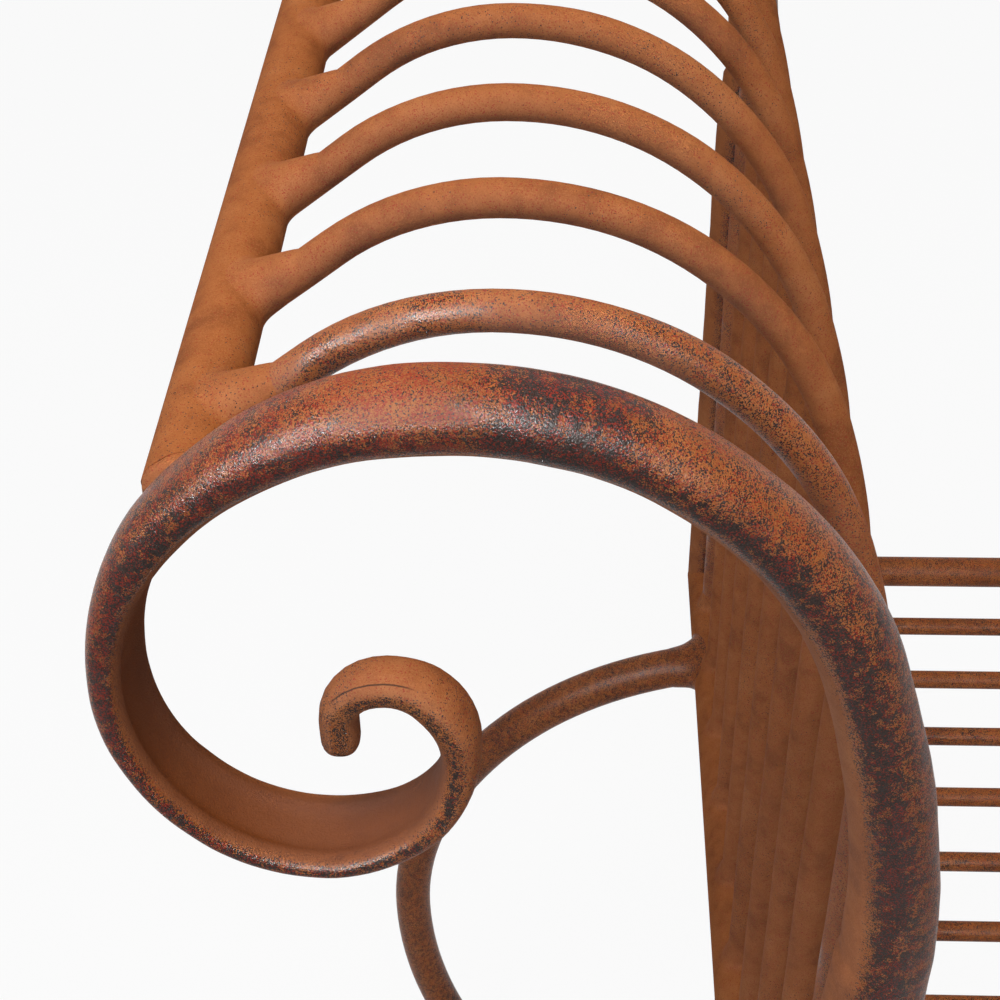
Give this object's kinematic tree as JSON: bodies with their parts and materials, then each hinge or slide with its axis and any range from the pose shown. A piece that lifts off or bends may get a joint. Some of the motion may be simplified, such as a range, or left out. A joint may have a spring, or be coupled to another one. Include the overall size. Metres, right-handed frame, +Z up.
{
  "type": "garden chair",
  "caption": "Armless welded iron garden chair: a rod back rolled rearward between scrolled posts, a slatted rod seat with a rolled front edge and bowed tube legs on plastic feet.",
  "frame": {"origin": "on the floor, under the middle of the chair's outline", "axes": "+X across the chair to its right seen from the front, +Y to the rear, +Z up; the front faces -Y"},
  "size_m": [0.4952, 0.5942, 0.9215],
  "materials": {
    "scroll_iron": "rust-brown patina speckled with charcoal and red, satin where dark",
    "back_rod_iron": "matte rust-brown patina with dark worn patches",
    "tube_iron": "matte orange-brown rust patina",
    "seat_iron": "matte rust-brown patina, darker on top",
    "leg_iron": "rust-brown patina with dark patches",
    "foot_plastic": "moulded black-brown plastic",
    "plug_plastic": "moulded dark brown plastic"
  },
  "bodies": {
    "root": {"back_post_left": "scroll_iron", "back_post_right": "scroll_iron", "back_rod_1": "back_rod_iron", "back_rod_2": "back_rod_iron", "back_rod_3": "back_rod_iron", "back_rod_4": "back_rod_iron", "back_rod_5": "back_rod_iron", "back_rod_6": "back_rod_iron", "back_rod_7": "back_rod_iron", "back_rod_8": "back_rod_iron", "back_rod_9": "back_rod_iron", "back_rod_10": "back_rod_iron", "top_rail": "tube_iron", "rear_tube": "tube_iron", "front_tube": "tube_iron", "front_rail": "tube_iron", "seat_bar_left": "seat_iron", "seat_rod_1": "seat_iron", "seat_rod_2": "seat_iron", "seat_rod_3": "seat_iron", "seat_rod_4": "seat_iron", "seat_rod_5": "seat_iron", "seat_rod_6": "seat_iron", "seat_rod_7": "seat_iron", "seat_rod_8": "seat_iron", "seat_rod_9": "seat_iron", "seat_rod_10": "seat_iron", "seat_rod_11": "seat_iron", "seat_bar_right": "seat_iron", "rear_leg_left": "leg_iron", "rear_leg_right": "leg_iron", "front_leg_left": "leg_iron", "front_leg_right": "leg_iron", "foot_cap_rear_left": "foot_plastic", "foot_cap_rear_right": "foot_plastic", "foot_cap_front_left": "foot_plastic", "foot_cap_front_right": "foot_plastic", "tube_plugs": "plug_plastic"}
  },
  "joints": []
}
